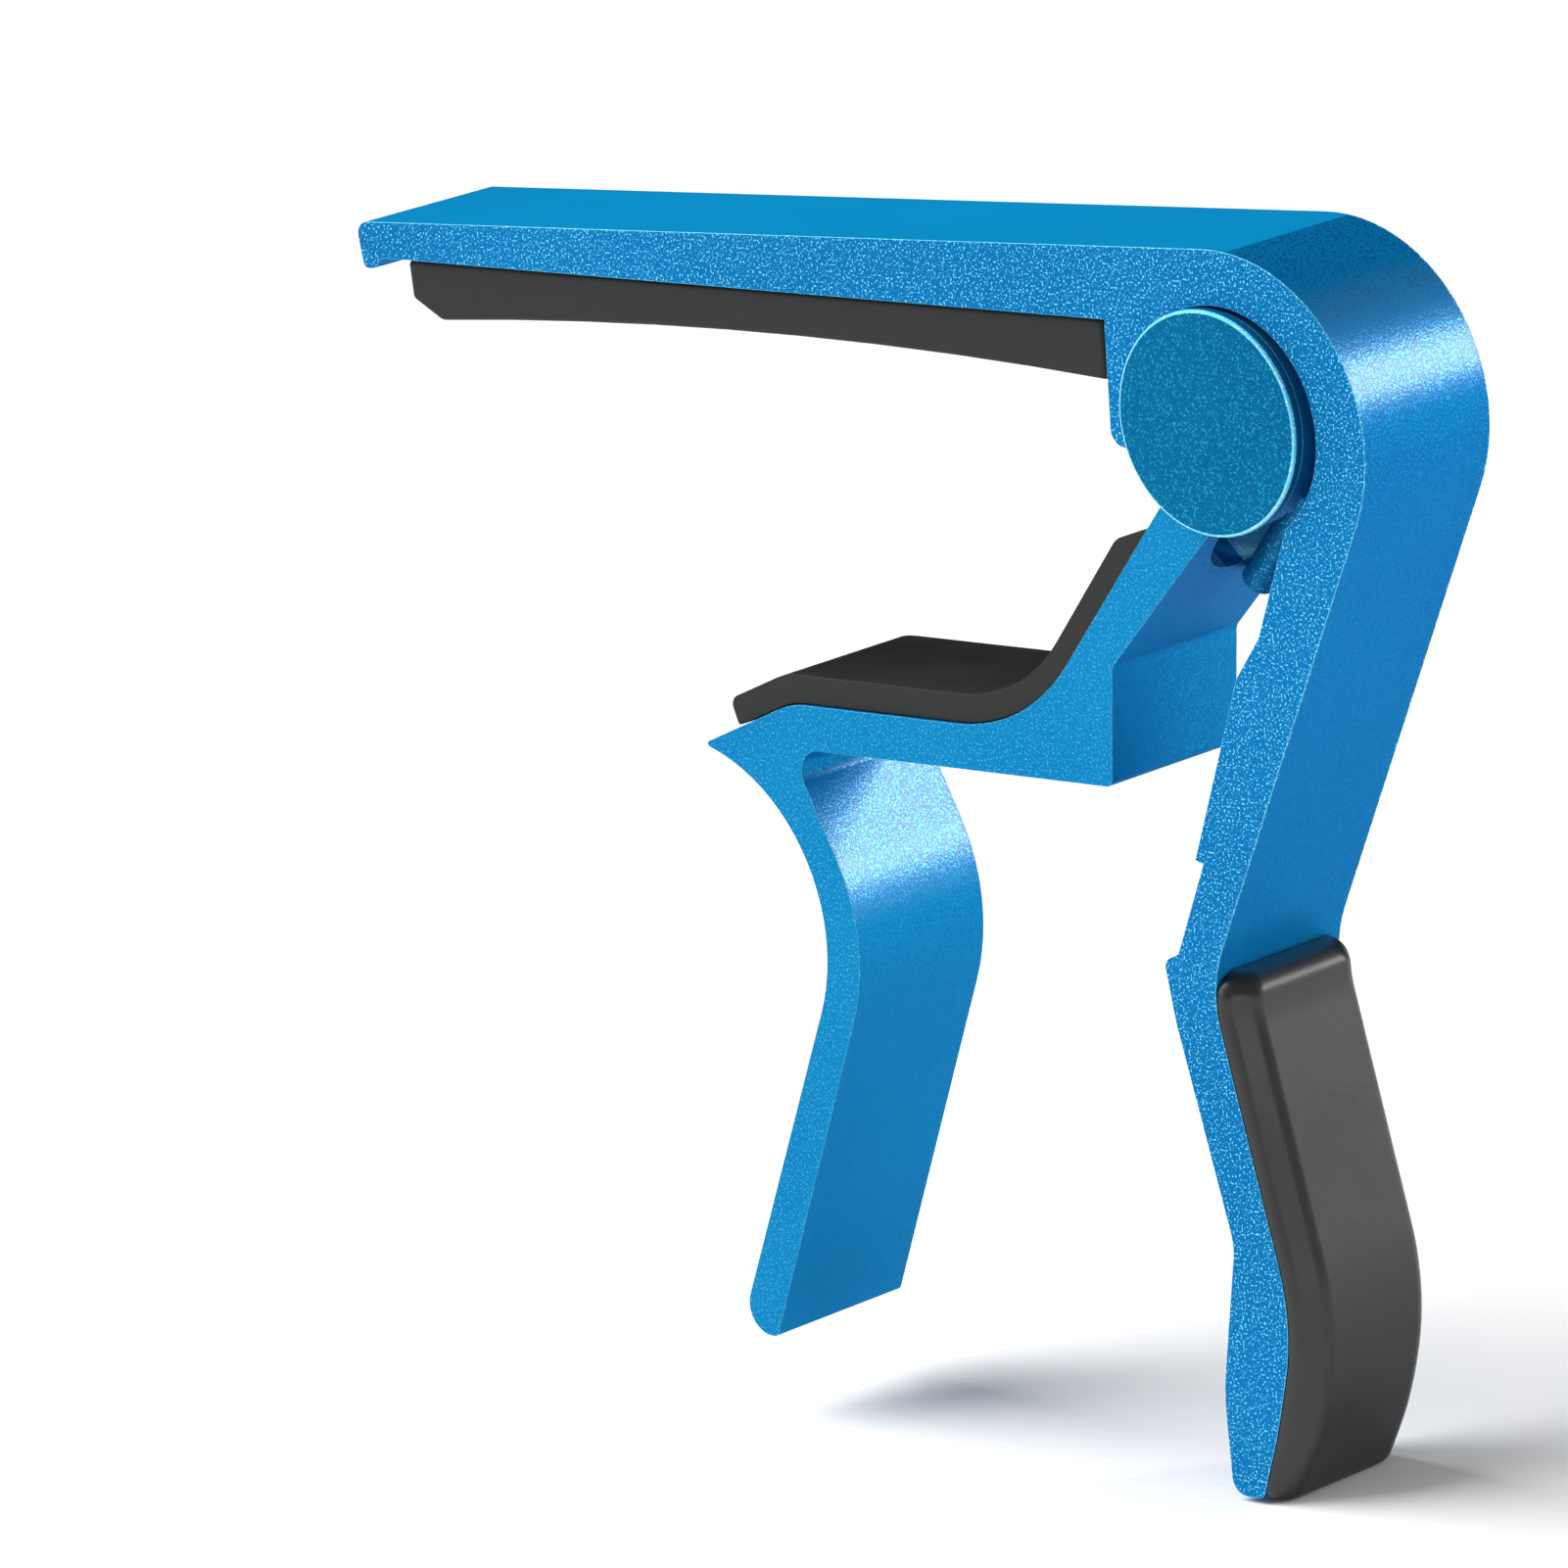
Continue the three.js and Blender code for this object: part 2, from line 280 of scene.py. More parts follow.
# %% The torsion spring
wire_radius = 1.18 * MM
coil_radius = 4.4 * MM
leg_side = 1.7 * MM  # the lower leg's Y, and the upper leg's is the same on the other side
start_angle = math.radians(-40)
end_angle = math.radians(360)
lower_leg, upper_leg = 12.6 * MM, 8.0 * MM
tip_round = 0.35 * MM
tip_steps = ((0.6, 0.86), (0.4, 0.75))  # a share of the rounding, and the ring's shrinking there
ring_points = 28

bpy.ops.object.select_all(action="DESELECT")
bpy.ops.mesh.primitive_circle_add(vertices=ring_points, radius=wire_radius, location=(0, 0, 0))
spring = bpy.context.object
spring.name = "torsion_spring_wire"
enter_edit(spring)
bpy.ops.mesh.select_all(action="SELECT")
bpy.ops.transform.translate(value=(coil_radius, leg_side, 0))
leave_edit()
winding = spring.modifiers.new("winding", "SCREW")
winding.axis = "Y"
winding.angle = start_angle - end_angle  # it winds anticlockwise as seen from the front
winding.screw_offset = -2 * leg_side
winding.steps = winding.render_steps = 120
winding.use_merge_vertices = False
apply_modifiers(spring)
coil_points = len(spring.data.vertices)

# %% Its legs
def pull_leg(ring, direction, length):
    """Extrudes the wire's open end, whose points are numbered by ring, and rounds the leg's tip."""
    enter_edit(spring, "EDGE")
    leave_edit()
    for edge in spring.data.edges:
        edge.select = all(i in ring for i in edge.vertices)
    bpy.ops.object.mode_set(mode="EDIT")
    steps = [(length - tip_round, 1.0)] + [(share * tip_round, shrink) for share, shrink in tip_steps]
    for step, shrink in steps:
        bpy.ops.mesh.extrude_region_move(TRANSFORM_OT_translate={"value": step * direction})
        bpy.ops.transform.resize(value=(shrink, shrink, shrink))
    bpy.ops.mesh.edge_face_add()
    leave_edit()


turned = end_angle - start_angle
pull_leg(range(ring_points), Vector((0, 0, -1)), lower_leg)
pull_leg(
    range(coil_points - ring_points, coil_points),
    Vector((-math.sin(turned), 0, math.cos(turned))), upper_leg)
spring.rotation_euler = (0, -start_angle, 0)
spring.location = (hinge_x, 0, hinge_z)
place_in_mesh(spring)
enter_edit(spring)
bpy.ops.mesh.select_all(action="SELECT")
bpy.ops.mesh.normals_make_consistent(inside=False)
leave_edit()
smooth(spring, 40.0)
report(spring)

# %% [markdown]
# ## The silicone pads
# The bar pad presses the strings, and the jaw pad lines the cradle that holds the back of the neck.
# Both are moulded silicone with soft edges, a little rounder than the metal's.

# %% The silicone pads
pad_edge_break = 0.35 * MM
bar_pad = refined_copy("bar_pad", "bar_pad_silicone", pad_edge_break, segments=4, sharp=20.0)
jaw_pad = refined_copy("jaw_pad", "jaw_pad_silicone", pad_edge_break, segments=4, sharp=24.0)

# %% [markdown]
# ## The handle's grip
# A rubber grip covers the outer edge of the handle. Its section is a low dome: a short wall at the
# handle's sides, a sloping flank, a soft crease, and a nearly flat crown. It thins towards the lower
# end. It is easiest to model straight, lying on the ground, and then to bend along the handle with a
# Curve modifier.

# %% The line that the grip follows
grip_bed = 0.12  # it stands this far off the metal, in millimetres
handle_edge = [  # along the handle, out from it, and the radius of the corner
    (38.85, 34.57, 0),
    (40.67, 34.12, 8),
    (61.5, 38.3 + grip_bed, 16),
    (69.0, 36.1 + grip_bed, 10),
    (73.35, 34.45 + grip_bed, 0),
]


def rounded_line(corners, steps=10):
    """A line through corners, each rounded to its radius, as a list of points."""
    points = []
    for i, (x, z, radius) in enumerate(corners):
        corner = Vector((x, 0, z))
        if not radius:
            points.append(corner)
            continue
        back = (Vector((corners[i - 1][0], 0, corners[i - 1][1])) - corner).normalized()
        onward = (Vector((corners[i + 1][0], 0, corners[i + 1][1])) - corner).normalized()
        half_angle = back.angle(onward) / 2
        middle = corner + (back + onward).normalized() * radius / math.sin(half_angle)
        reach = radius / math.tan(half_angle)
        first, last = corner + reach * back - middle, corner + reach * onward - middle
        for k in range(steps + 1):
            spoke = (first * (1 - k / steps) + last * (k / steps)).normalized()
            points.append(middle + radius * spoke)
    return points


grip_line = rounded_line(handle_edge)
grip_length = sum((b - a).length for a, b in zip(grip_line, grip_line[1:])) * MM
guide_data = bpy.data.curves.new("grip_guide", "CURVE")
guide_data.dimensions = "3D"
guide_data.twist_mode = "Z_UP"
spline = guide_data.splines.new("POLY")
spline.points.add(len(grip_line) - 1)
for point, place in zip(spline.points, grip_line):
    point.co = (*(place * MM), 1)
guide = bpy.data.objects.new("grip_guide", guide_data)
bpy.context.scene.collection.objects.link(guide)
print("grip length", round(grip_length / MM, 2), "mm")

# %% The grip's section
grip_half_width = 6.0 * MM
grip_height = 2.15 * MM
flank = 1.5 * MM  # the crown's corners are cut off by this much
flank_round = 0.5 * MM

bpy.ops.object.select_all(action="DESELECT")
bpy.ops.mesh.primitive_plane_add(size=1, rotation=(0, math.pi / 2, 0))
grip = bpy.context.object
grip.name = "handle_grip_rubber"
grip.scale = (grip_height, 2 * grip_half_width, 1)
grip.location = (0, 0, grip_height / 2)
place_in_mesh(grip)
for offset, segments in ((flank, 1), (flank_round, 4)):
    enter_edit(grip)
    leave_edit()
    for point in grip.data.vertices:
        point.select = point.co.z > hair
    bpy.ops.object.mode_set(mode="EDIT")
    bpy.ops.mesh.bevel(offset=offset, segments=segments, affect="VERTICES")
    leave_edit()
print("section", len(grip.data.vertices), "points")

# %% The section's size along the grip
head_corner, tail_corner = 1.7 * MM, 0.9 * MM  # the rounding seen from above
head_dome, tail_dome = 1.5 * MM, 0.7 * MM  # and seen from the side
head_wall, tail_wall = 0.35, 0.45  # how high the end walls stand, as a share of the height
thin_end = 7.5 * MM  # it thins towards its lower end over this length
thinning, thinning_power = 0.42, 1.5


def rounded(distance, radius):
    """0 at an end and 1 from one radius inwards, along a quarter of a circle."""
    inside = max(0.0, 1 - distance / radius)
    return math.sqrt(1 - inside * inside)


def section_size(x):
    """The section's width and height at x along the grip, as shares of the full ones."""
    to_head, to_tail = x, grip_length - x
    width = 1 - (head_corner * (1 - rounded(to_head, head_corner))
                 + tail_corner * (1 - rounded(to_tail, tail_corner))) / grip_half_width
    height = head_wall + (1 - head_wall) * rounded(to_head, head_dome)
    height *= tail_wall + (1 - tail_wall) * rounded(to_tail, tail_dome)
    height *= 1 - thinning * max(0.0, 1 - to_tail / thin_end) ** thinning_power
    return width, height


# The stations lie close together at both ends, where the size changes quickly.
head_stations = [x * MM for x in (0.0, 0.02, 0.07, 0.16, 0.3, 0.5, 0.75, 1.05, 1.4, 1.8)]
tail_stations = [grip_length - x for x in reversed(head_stations)]
middle_steps = 44
between = (tail_stations[0] - head_stations[-1]) / middle_steps
middle_stations = [head_stations[-1] + between * k for k in range(1, middle_steps)]
stations = head_stations + middle_stations + tail_stations
print(len(stations), "stations")

# %% The grip, pulled out of its section from station to station
enter_edit(grip)
bpy.ops.mesh.select_all(action="SELECT")
here = (1.0, 1.0)
for before, x in zip([0.0] + stations, stations):
    width, height = section_size(x)
    if x > before:
        bpy.ops.mesh.extrude_region_move(TRANSFORM_OT_translate={"value": (x - before, 0, 0)})
    bpy.ops.transform.resize(
        value=(1, width / here[0], height / here[1]), center_override=(x, 0, 0))
    here = (width, height)
leave_edit()
report(grip)

# %% Bent along the handle
bend = grip.modifiers.new("bend", "CURVE")
bend.object = guide
bend.deform_axis = "POS_X"
apply_modifiers(grip)
grip.rotation_euler = (0, math.pi / 2, 0)
place_in_mesh(grip)
enter_edit(grip)
bpy.ops.mesh.select_all(action="SELECT")
bpy.ops.mesh.normals_make_consistent(inside=False)
leave_edit()
smooth(grip, 30.0)
bpy.data.objects.remove(guide)
report(grip)

# %% [markdown]
# ## Shared effects
# Effects that several finishes use are node groups. Blasted metal has a fine grain that sparkles where
# it faces the light squarely; on the sides its glints are painted in as pale flecks. Every surface also
# has faint, slow changes of tone, and dust.

# %% Node helpers
def linear(red, green, blue):
    """A colour given as 0 to 255 on a screen, as the linear values that a shader reads."""
    parts = [c / 255 for c in (red, green, blue)]
    return [p / 12.92 if p <= 0.04045 else ((p + 0.055) / 1.055) ** 2.4 for p in parts] + [1.0]


def new_group(name, inputs, outputs):
    group = bpy.data.node_groups.new(name, "ShaderNodeTree")
    for label, value in inputs:
        socket = group.interface.new_socket(label, in_out="INPUT", socket_type="NodeSocketFloat")
        socket.default_value = value
    for label in outputs:
        group.interface.new_socket(label, in_out="OUTPUT", socket_type="NodeSocketFloat")
    return group, group.nodes.new("NodeGroupInput"), group.nodes.new("NodeGroupOutput")


def add_node(tree, kind, settings=(), values=()):
    node = tree.nodes.new(kind)
    for key, value in dict(settings).items():
        setattr(node, key, value)
    for key, value in dict(values).items():
        node.inputs[key].default_value = value
    return node


def math_node(tree, operation, first, second=None):
    node = add_node(tree, "ShaderNodeMath", {"operation": operation})
    for socket, source in zip(node.inputs, (first, second)):
        if source is None:
            continue
        if isinstance(source, (int, float)):
            socket.default_value = source
        else:
            tree.links.new(source, socket)
    return node.outputs[0]


def noise(tree, size, detail=2.0):
    """A noise on Object coordinates. Size, in metres, is a number or a socket."""
    place = add_node(tree, "ShaderNodeTexCoord").outputs["Object"]
    texture = add_node(tree, "ShaderNodeTexNoise", {}, {"Detail": detail, "Roughness": 0.5})
    tree.links.new(place, texture.inputs["Vector"])
    if isinstance(size, (int, float)):
        texture.inputs["Scale"].default_value = 1 / size
    else:
        tree.links.new(math_node(tree, "DIVIDE", 1.0, size), texture.inputs["Scale"])
    return texture.outputs["Fac"]


def ramp(tree, value, low, high, to_low=0.0, to_high=1.0):
    """Rises or falls softly from to_low to to_high while value goes from low to high."""
    node = add_node(tree, "ShaderNodeMapRange", {"interpolation_type": "SMOOTHSTEP"})
    for key, number in (("From Min", low), ("From Max", high), ("To Min", to_low), ("To Max", to_high)):
        if isinstance(number, (int, float)):
            node.inputs[key].default_value = number
        else:
            tree.links.new(number, node.inputs[key])
    tree.links.new(value, node.inputs["Value"])
    return node.outputs["Result"]


def share_between(tree, mask, where_0, where_1):
    """A number that is where_0 outside a mask and where_1 inside it."""
    return ramp(tree, mask, 0.0, 1.0, where_0, where_1)


# %% Grain: the texture of blasted metal
dent_size, dent_share = 1.1 * MM, 0.6
fleck_softness = 0.09
grain, grain_in, grain_out = new_group(
    "blasted_grain", [("Grain size", 0.15 * MM), ("Fleck level", 0.575)], ["Fleck", "Height"])
fine = noise(grain, grain_in.outputs["Grain size"], 1.0)
dents = noise(grain, dent_size)
level = grain_in.outputs["Fleck level"]
fleck = ramp(grain, fine, level, math_node(grain, "ADD", level, fleck_softness))
grain.links.new(fleck, grain_out.inputs["Fleck"])
deep_dents = math_node(grain, "MULTIPLY", dents, dent_share)
grain.links.new(math_node(grain, "ADD", fine, deep_dents), grain_out.inputs["Height"])

# %% Sides: where a surface lies on the capo's two blasted sides
side_starts, side_is_full = 0.25 * MM, 0.05 * MM  # this far inside the half width
sides, sides_in, sides_out = new_group("on_the_sides", [("Half width", 6 * MM)], ["Mask"])
place = add_node(sides, "ShaderNodeTexCoord").outputs["Object"]
split = add_node(sides, "ShaderNodeSeparateXYZ")
sides.links.new(place, split.inputs["Vector"])
across = math_node(sides, "ABSOLUTE", split.outputs["Y"])
half_width = sides_in.outputs["Half width"]
mask_from = math_node(sides, "SUBTRACT", half_width, side_starts)
mask_to = math_node(sides, "SUBTRACT", half_width, side_is_full)
sides.links.new(ramp(sides, across, mask_from, mask_to), sides_out.inputs["Mask"])

# %% Painted highlight: the shoulders that face outwards and up, towards the rear right panel, get a strong clear coat so that the highlight falls there
outward_from, outward_to = 0.5, 0.8  # the X part of the normal
upward_span = 0.25  # and its Z part, from the least one
highlight_coat, highlight_coat_in, highlight_coat_out = new_group("highlight_coat_shoulders", [("Least upward", 0.02)], ["Mask"])
facing = add_node(highlight_coat, "ShaderNodeSeparateXYZ")
highlight_coat.links.new(add_node(highlight_coat, "ShaderNodeTexCoord").outputs["Normal"], facing.inputs["Vector"])
upward = highlight_coat_in.outputs["Least upward"]
outwards = ramp(highlight_coat, facing.outputs["X"], outward_from, outward_to)
upwards = ramp(
    highlight_coat, facing.outputs["Z"], upward, math_node(highlight_coat, "ADD", upward, upward_span))
highlight_coat.links.new(math_node(highlight_coat, "MULTIPLY", outwards, upwards), highlight_coat_out.inputs["Mask"])

# %% Tone: slow changes, and the dust that settles on top of them
tone_from, tone_to = 0.3, 0.7
dust_size, dust_from, dust_to = 0.6 * MM, 0.66, 0.74
tone, tone_in, tone_out = new_group("slow_tone", [("Spot size", 12 * MM)], ["Tone", "Dust"])
spots = noise(tone, tone_in.outputs["Spot size"], 3.0)
tone.links.new(ramp(tone, spots, tone_from, tone_to), tone_out.inputs["Tone"])
tone.links.new(
    ramp(tone, noise(tone, dust_size), dust_from, dust_to), tone_out.inputs["Dust"])
print("groups:", [g.name for g in bpy.data.node_groups])


# %% A material with the groups at hand
def new_material(name):
    material = bpy.data.materials.new(name)
    material.use_nodes = True
    tree = material.node_tree
    tree.nodes.clear()
    shader = tree.nodes.new("ShaderNodeBsdfPrincipled")
    output = tree.nodes.new("ShaderNodeOutputMaterial")
    tree.links.new(shader.outputs["BSDF"], output.inputs["Surface"])
    return material, tree, shader


def use_group(tree, group, values=()):
    node = add_node(tree, "ShaderNodeGroup", {"node_tree": group})
    for key, value in dict(values).items():
        node.inputs[key].default_value = value
    return node


def mix_colours(tree, share, first, second):
    node = add_node(tree, "ShaderNodeMix", {"data_type": "RGBA"})
    tree.links.new(share, node.inputs["Factor"])
    for socket, source in ((node.inputs[6], first), (node.inputs[7], second)):
        if isinstance(source, list):
            socket.default_value = source
        else:
            tree.links.new(source, socket)
    return node.outputs[2]


def bump(tree, shader, height, strength, distance):
    node = add_node(tree, "ShaderNodeBump", {}, {"Distance": distance})
    if isinstance(strength, (int, float)):
        node.inputs["Strength"].default_value = strength
    else:
        tree.links.new(strength, node.inputs["Strength"])
    tree.links.new(height, node.inputs["Height"])
    tree.links.new(node.outputs["Normal"], shader.inputs["Normal"])
    return node.outputs["Normal"]


# %% [markdown]
# ## The blue metal
# The aluminium is blasted with fine beads and then coated a deep metallic blue under a clear satin
# layer; the coat is made strong only on the shoulders that face the rear right panel, as a painted
# highlight. Its sides carry pale flecks, the blasted grain with its glints painted in as colour, and the
# outer faces are more even. One recipe makes every blue finish: the upper arm's, its smoother bar top
# painted a little lighter as painted light from above, the jaw's with fewer flecks and a little lighter
# as painted light on faces the handle shades, the caps' in a slightly greener blue, the spring's, and a
# paler one for the broken edges as a painted highlight.

# %% The blue metal
flake_blue = linear(36, 140, 200)
sheen_blue = linear(20, 160, 215)
grain_depth = 0.04 * MM


def blue_metal(name, plain, deep, glint_pale, half_width, side_glint_share=0.95, outer_flecks=0.8, metallic=0.55):
    """Pale flecks on the sides, the grain's glints painted in as colour. On the outer faces the flecks
    are closer, bluer and more polished.
    """
    material, tree, shader = new_material(name)
    speckle = use_group(tree, grain)
    flakes = use_group(tree, grain, {"Fleck level": 0.52})
    side = use_group(tree, sides, {"Half width": half_width}).outputs["Mask"]
    slow = use_group(tree, tone, {"Spot size": 16 * MM})
    base = mix_colours(tree, slow.outputs["Tone"], plain, deep)
    # painted glints: the sides' pale flecks are colour, the same under any light
    side_glints = math_node(
        tree, "MULTIPLY", speckle.outputs["Fleck"], math_node(tree, "MULTIPLY", side, side_glint_share))
    on_outer = math_node(
        tree, "MULTIPLY", flakes.outputs["Fleck"], share_between(tree, side, outer_flecks, 0.0))
    outer = mix_colours(tree, on_outer, base, flake_blue)
    tree.links.new(mix_colours(tree, side_glints, outer, glint_pale), shader.inputs["Base Color"])
    tree.links.new(share_between(tree, on_outer, 0.55, 0.3), shader.inputs["Roughness"])
    tree.links.new(share_between(tree, on_outer, metallic, 0.95), shader.inputs["Metallic"])
    grain_strength = share_between(tree, side, 0.35, 0.5)
    blasted = bump(tree, shader, speckle.outputs["Height"], grain_strength, grain_depth)
    tree.links.new(blasted, shader.inputs["Coat Normal"])
    # painted highlight: the clear coat is strong only on the shoulders that face the rear right panel
    highlight_coat_mask = use_group(tree, highlight_coat).outputs["Mask"]
    tree.links.new(share_between(tree, highlight_coat_mask, 0.02, 0.34), shader.inputs["Coat Weight"])
    shader.inputs["Specular IOR Level"].default_value = 0.1
    shader.inputs["Specular Tint"].default_value = sheen_blue
    shader.inputs["Coat IOR"].default_value = 1.9
    shader.inputs["Coat Roughness"].default_value = 0.25
    return material


arm_side, cap_side = -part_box("upper_arm")[0].y, -cap_outer
all_over = 0.0  # every face counts as a side
casting_blue = blue_metal(
    "casting_blue", linear(0, 120, 182), linear(0, 114, 176), linear(135, 230, 252), arm_side)
# painted light: the bar top's blue is lighter than the casting's because the top faces the light above;
# no flecks is its smoother finish
smooth_bar_top_painted_lighter = blue_metal(
    "smooth_bar_top_painted_lighter", linear(0, 134, 188), linear(0, 130, 184), linear(150, 232, 252), arm_side,
    side_glint_share=0.0, outer_flecks=0.0, metallic=0.2)
# painted light: the jaw's blue is a little lighter than the casting's, lifting the faces that the handle
# shades; its fewer flecks are its own finish
jaw_blue_painted_lighter = blue_metal(
    "jaw_blue_painted_lighter", linear(8, 134, 190), linear(4, 128, 184), linear(120, 210, 238), arm_side,
    side_glint_share=0.45)
cap_blue = blue_metal(
    "cap_blue", linear(0, 104, 150), linear(0, 98, 144), linear(50, 185, 218), cap_side,
    side_glint_share=0.55)
# painted highlight: the broken edges get a pale blue that stands in for the light they catch
painted_highlight_edge_blue = blue_metal(
    "painted_highlight_edge_blue", linear(140, 224, 245), linear(100, 208, 238), linear(210, 246, 255), all_over)
wire_blue = blue_metal(
    "wire_blue", linear(14, 128, 180), linear(8, 118, 170), linear(130, 215, 240), all_over,
    side_glint_share=0.6)

# %% [markdown]
# ## Silicone, rubber, steel and nylon
# The pads are matt and dark. The grip is a satin charcoal rubber with a fine moulded skin. The hidden
# hinge pieces are turned steel and natural nylon.

# %% Silicone and rubber
dust_grey, dust_share = linear(90, 90, 88), 0.04


def rubbery(name, dark, light, roughness, skin_size, skin_depth, gloss=0.35):
    material, tree, shader = new_material(name)
    slow = use_group(tree, tone, {"Spot size": 9 * MM})
    base = mix_colours(tree, slow.outputs["Tone"], dark, light)
    dusty = math_node(tree, "MULTIPLY", slow.outputs["Dust"], dust_share)
    tree.links.new(mix_colours(tree, dusty, base, dust_grey), shader.inputs["Base Color"])
    tree.links.new(
        share_between(tree, slow.outputs["Tone"], roughness - 0.04, roughness + 0.05),
        shader.inputs["Roughness"])
    bump(tree, shader, noise(tree, skin_size, 3.0), 0.35, skin_depth)
    shader.inputs["Specular IOR Level"].default_value = gloss
    return material


pad_silicone = rubbery(
    "pad_silicone", linear(26, 27, 26), linear(32, 33, 32), roughness=0.6,
    skin_size=0.5 * MM, skin_depth=0.02 * MM)
grip_rubber = rubbery(
    "grip_rubber", linear(21, 21, 21), linear(26, 26, 25), roughness=0.36,
    skin_size=0.6 * MM, skin_depth=0.03 * MM, gloss=0.6)


# %% Steel and nylon
def plain_stock(name, first, second, metallic, roughness):
    material, tree, shader = new_material(name)
    speckle = use_group(tree, grain, {"Grain size": 0.4 * MM})
    height = speckle.outputs["Height"]
    tree.links.new(mix_colours(tree, height, first, second), shader.inputs["Base Color"])
    tree.links.new(
        ramp(tree, height, 0.4, 1.1, roughness - 0.05, roughness + 0.08),
        shader.inputs["Roughness"])
    bump(tree, shader, height, 0.2, 0.02 * MM)
    shader.inputs["Metallic"].default_value = metallic
    return material


turned_steel = plain_stock(
    "turned_steel", linear(176, 178, 182), linear(200, 202, 205), metallic=1.0, roughness=0.28)
natural_nylon = plain_stock(
    "natural_nylon", linear(214, 210, 198), linear(226, 222, 212), metallic=0.0, roughness=0.45)

# %% [markdown]
# ## Putting it together
# Each refined piece stands for its imported solid, which is hidden, and all but the spring move with that
# solid's body. The spring is held by both arms: its lower leg turns with the jaw and its upper leg stays
# with the upper arm. Here it is attached to neither body and keeps its place.

# %% Finishes
def dress(piece, material):
    piece.data.materials.clear()
    piece.data.materials.append(material)


finishes = [
    (upper_arm, casting_blue, "upper", "upper_arm", "blue_metal"),
    (lower_jaw, jaw_blue_painted_lighter, "jaw", "lower_jaw", "blue_metal"),
    (cap_front, cap_blue, "jaw", "hinge_cap_front", "blue_metal"),
    (cap_rear, cap_blue, "jaw", "hinge_cap_rear", "blue_metal"),
    (bar_pad, pad_silicone, "upper", "bar_pad", "silicone"),
    (jaw_pad, pad_silicone, "jaw", "jaw_pad", "silicone"),
    (grip, grip_rubber, "upper", "handle_grip", "grip_rubber"),
    (spring, wire_blue, None, "torsion_spring", "blue_spring"),
]
for piece, material, body, solid, slot in finishes:
    dress(piece, material)
    if body:
        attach(piece, body)
    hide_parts(solid)
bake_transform(spring)

# %% The bar's top, ground smooth as far as the knee, and painted a lighter blue there as painted light from above
upwards_at_least, above = 0.99, 5 * MM  # the top faces straight up, and stands above this height
upper_arm.data.materials.append(smooth_bar_top_painted_lighter)
upper_arm.active_material_index = 1
select_faces(upper_arm, lambda centre, normal: normal.z > upwards_at_least and centre.z > above)
bpy.ops.object.material_slot_assign()
leave_edit()

# %% Painted highlights on the broken edges: a paler blue on the faces that lean between a side and an outer face
lean_from, lean_to = 0.2, 0.975
for piece in (upper_arm, lower_jaw, cap_front, cap_rear):
    piece.data.materials.append(painted_highlight_edge_blue)
    piece.active_material_index = len(piece.data.materials) - 1
    select_faces(piece, lambda centre, normal: lean_from < abs(normal.y) < lean_to)
    bpy.ops.object.material_slot_assign()
    leave_edit()

# %% The plain pieces inside the hinge
steel_pieces = ("hinge_sleeve", "hinge_screw")
nylon_pieces = ("spring_bushing", "thrust_washer_front", "thrust_washer_rear")
for name in steel_pieces:
    dress(nodes[name], turned_steel)
for name in nylon_pieces:
    dress(nodes[name], natural_nylon)
print("dressed", len(finishes) + len(steel_pieces) + len(nylon_pieces), "pieces")

# %% [markdown]
# ## Floor and light
# The floor is plain and pale. A broad overhead light and an even sky light everything softly. Three
# panels put the highlights on the knee and the trigger, and a dark card behind the capo gives the round
# knee the dark zone above its highlight.

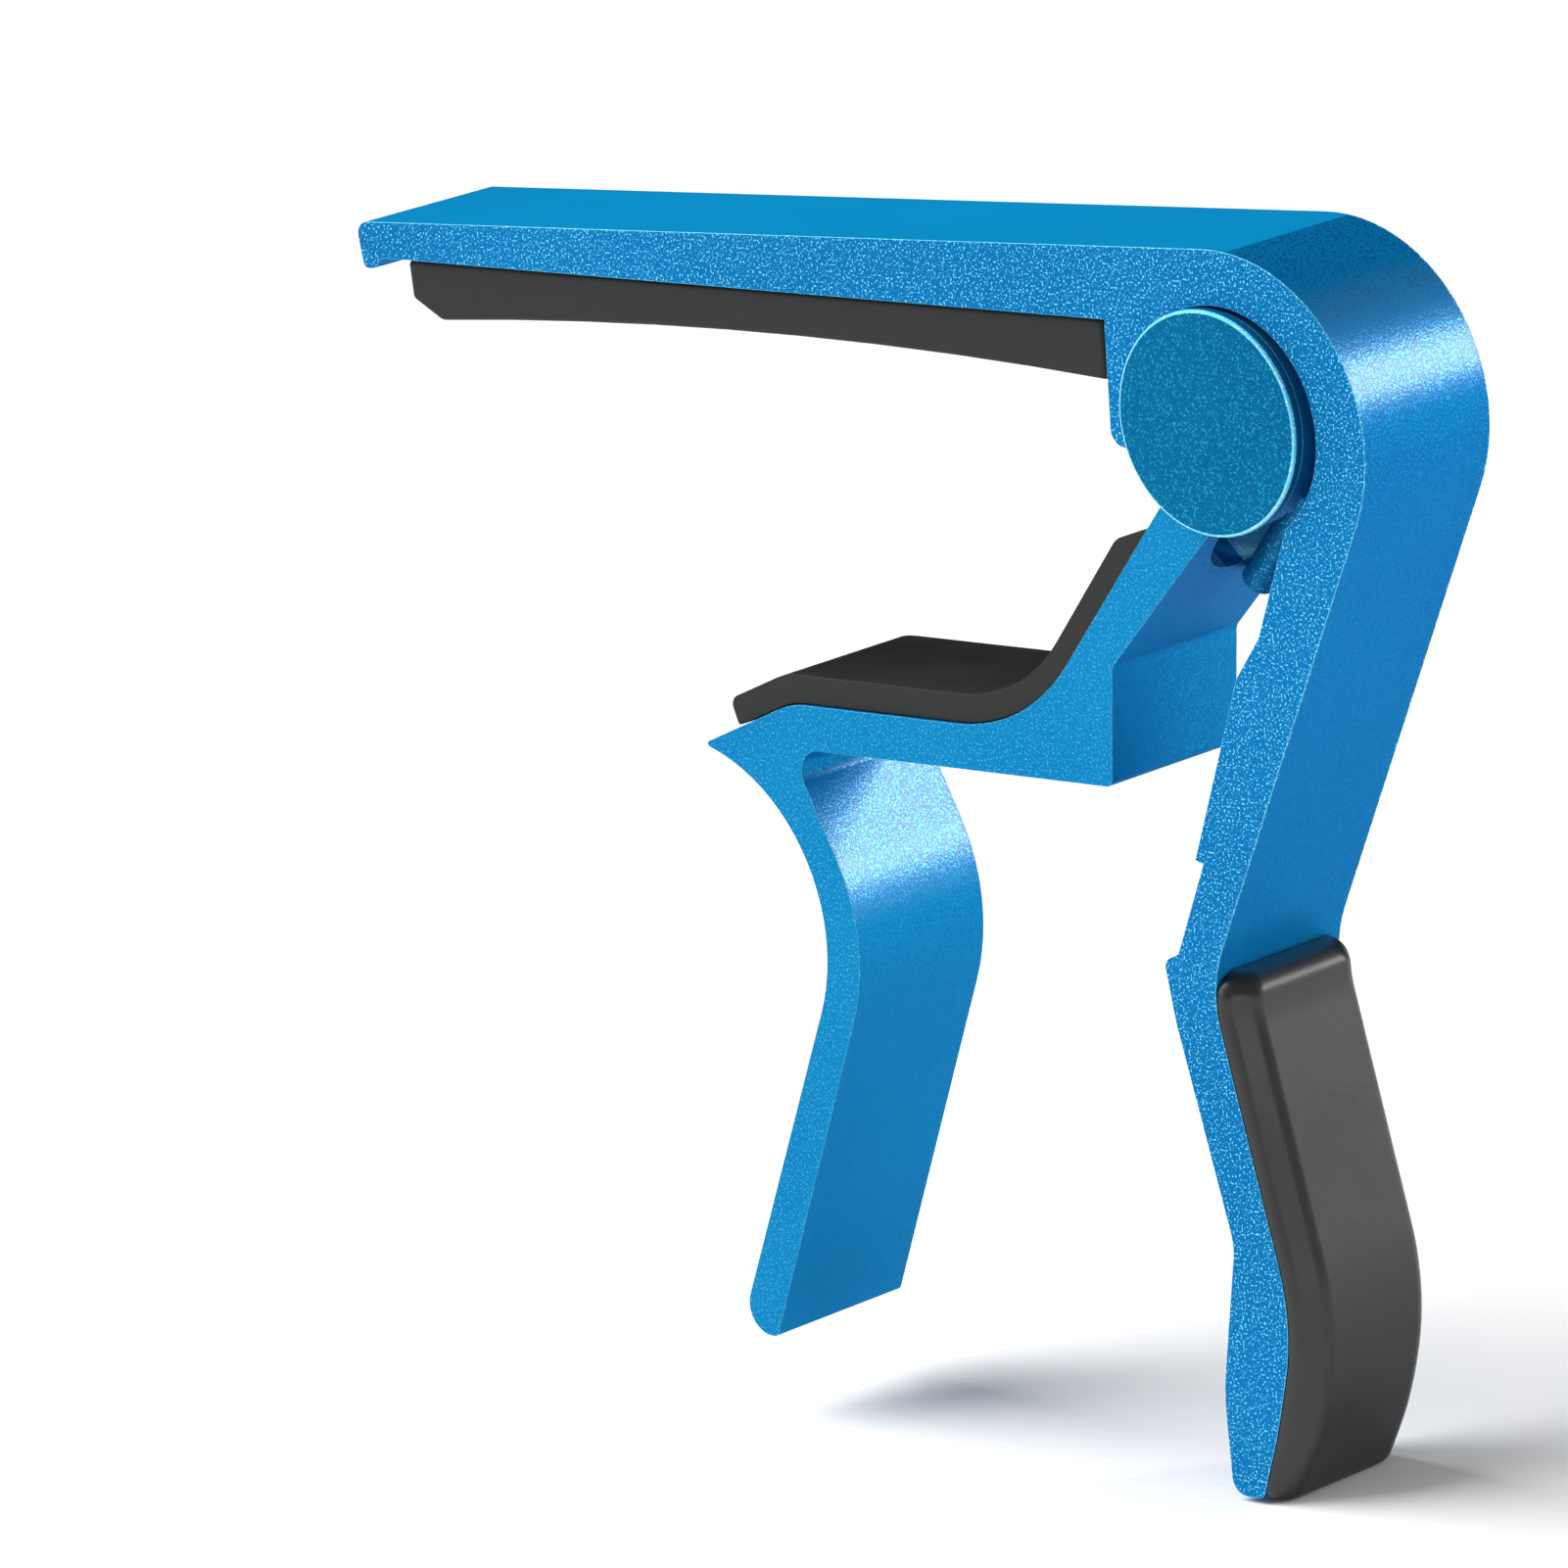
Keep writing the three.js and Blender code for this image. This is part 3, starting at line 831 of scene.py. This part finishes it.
# %% The floor
floor_gap = 0.3 * MM
bpy.ops.object.select_all(action="DESELECT")
bpy.ops.mesh.primitive_circle_add(
    vertices=96, radius=4.0, fill_type="NGON", location=(0, 0, cad_box[0][2] - floor_gap))
floor = bpy.context.object
floor.name = "floor"
place_in_mesh(floor)
floor_paint, floor_tree, floor_shader = new_material("floor_paint")
floor_tree.links.new(
    mix_colours(floor_tree, noise(floor_tree, 0.8), linear(234, 234, 234), linear(238, 238, 238)),
    floor_shader.inputs["Base Color"])
floor_shader.inputs["Roughness"].default_value = 0.8
dress(floor, floor_paint)

# %% The sky: even all round, with a dark card behind the capo
sky_strength, card_strength = 0.3, 0.018
card_from, card_full = 0.6, 0.9  # how nearly a direction points at the card
world = bpy.data.worlds.new("studio")
world.use_nodes = True
bpy.context.scene.world = world
sky = world.node_tree
background = sky.nodes["Background"]
direction = add_node(sky, "ShaderNodeTexCoord").outputs["Generated"]
towards_card = add_node(sky, "ShaderNodeVectorMath", {"operation": "DOT_PRODUCT"})
sky.links.new(direction, towards_card.inputs[0])
towards_card.inputs[1].default_value = (-0.64, 0.72, 0.26)
strength = ramp(
    sky, towards_card.outputs["Value"], card_from, card_full, sky_strength, card_strength)
sky.links.new(strength, background.inputs["Strength"])
background.inputs["Color"].default_value = (1.0, 1.0, 1.0, 1.0)


# %% The panels
def panel(name, place, aim, width, height, power):
    data = bpy.data.lights.new(name, "AREA")
    data.shape = "RECTANGLE"
    data.size, data.size_y, data.energy = width, height, power
    lamp = bpy.data.objects.new(name, data)
    lamp.location = place
    lamp.rotation_euler = (Vector(aim) - Vector(place)).to_track_quat("-Z", "Y").to_euler()
    bpy.context.scene.collection.objects.link(lamp)


capo_middle = (0.01, 0, -0.03)
panel("rear_right_panel", (0.62, 0.66, 0.24), capo_middle, width=0.12, height=0.30, power=3.2)
panel("front_right_panel", (0.75, -0.66, 0.02), capo_middle, width=0.10, height=0.24, power=0.5)
panel("front_left_panel", (-0.4, -0.9, 0.3), capo_middle, width=0.5, height=0.5, power=1.6)

overhead_data = bpy.data.lights.new("overhead", "SUN")
overhead_data.energy = 3.9
overhead_data.angle = math.radians(50)
overhead = bpy.data.objects.new("overhead", overhead_data)
overhead_shines = Vector((0.5, 0.3, -0.8))
overhead.rotation_euler = overhead_shines.to_track_quat("-Z", "Y").to_euler()
bpy.context.scene.collection.objects.link(overhead)

bpy.context.scene.view_settings.view_transform = "Standard"

# %% Measure and finish
def plain(box):
    return [[float(c) for c in corner] for corner in box]
